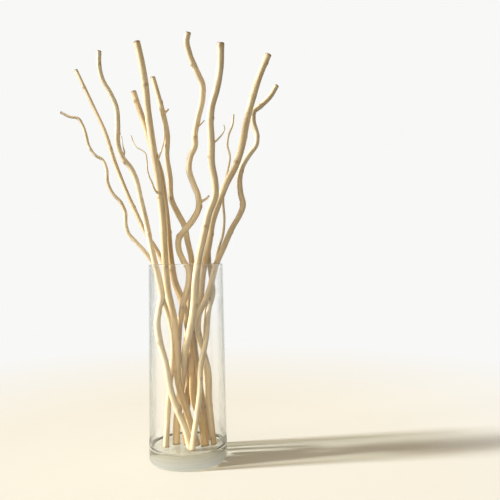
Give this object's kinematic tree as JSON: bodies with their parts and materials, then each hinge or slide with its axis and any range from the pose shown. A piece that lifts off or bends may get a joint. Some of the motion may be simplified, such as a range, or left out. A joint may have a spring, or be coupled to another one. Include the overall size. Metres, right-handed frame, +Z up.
{
  "type": "willow stems in a glass vase",
  "caption": "Peeled curly willow stems fanning out of a clear glass cylinder vase with a thick floor; a dry arrangement for a table or shelf.",
  "frame": {"origin": "middle of the vase's flat underside", "axes": "+Z up along the vase's axis; -Y towards the viewer; +X to the right of the fan of stems"},
  "size_m": [0.2887, 0.1328, 0.5329],
  "materials": {
    "peeled_willow": "peeled, dried and bleached willow, matt",
    "vase_glass": "clear blown glass, polished"
  },
  "bodies": {
    "root": {"vase": "vase_glass", "stem_left_curled": "peeled_willow", "stem_left_slender": "peeled_willow", "stem_left_bowed": "peeled_willow", "stem_short_thick": "peeled_willow", "stem_tall_straight": "peeled_willow", "stem_middle_back": "peeled_willow", "stem_middle_looped": "peeled_willow", "stem_front_thick": "peeled_willow", "stem_right_tall": "peeled_willow", "stem_right_zigzag": "peeled_willow", "stem_right_thin": "peeled_willow", "stem_short_front": "peeled_willow"}
  },
  "joints": []
}
